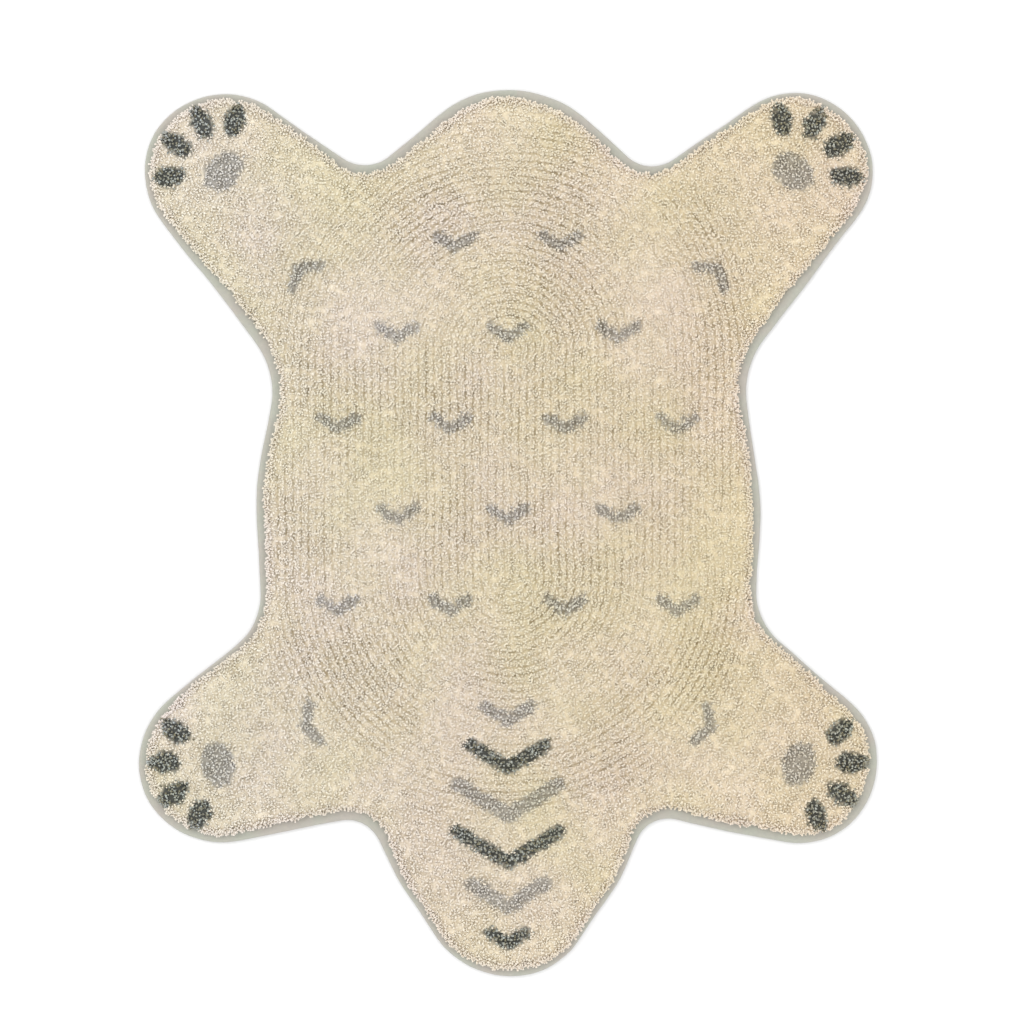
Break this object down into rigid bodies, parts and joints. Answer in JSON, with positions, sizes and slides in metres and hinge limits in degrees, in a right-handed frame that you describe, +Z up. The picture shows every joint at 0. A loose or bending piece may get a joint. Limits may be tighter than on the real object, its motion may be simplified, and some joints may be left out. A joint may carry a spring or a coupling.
{
  "type": "hide-shaped tufted floor mat",
  "caption": "Flat cotton cut-pile floor mat in the outline of an animal hide, with a head, splayed limbs and a cloth binding folded round its edge.",
  "frame": {"origin": "middle of the mat's overall box, on the floor that it lies on", "axes": "+Z up out of the pile, +Y from the head towards the rump, +X across the mat"},
  "size_m": [0.7492, 0.8994, 0.014],
  "materials": {
    "cream_pile": "cut cotton pile, matt, cream",
    "light_grey_pile": "cut cotton pile, matt, light grey",
    "dark_grey_pile": "cut cotton pile, matt, dark grey",
    "grey_binding": "plain woven cotton, matt, warm light grey",
    "base_cloth": "plain woven cotton base cloth, matt"
  },
  "bodies": {
    "root": {"tufted_face": "cream_pile", "edge_binding": "grey_binding"}
  },
  "joints": []
}
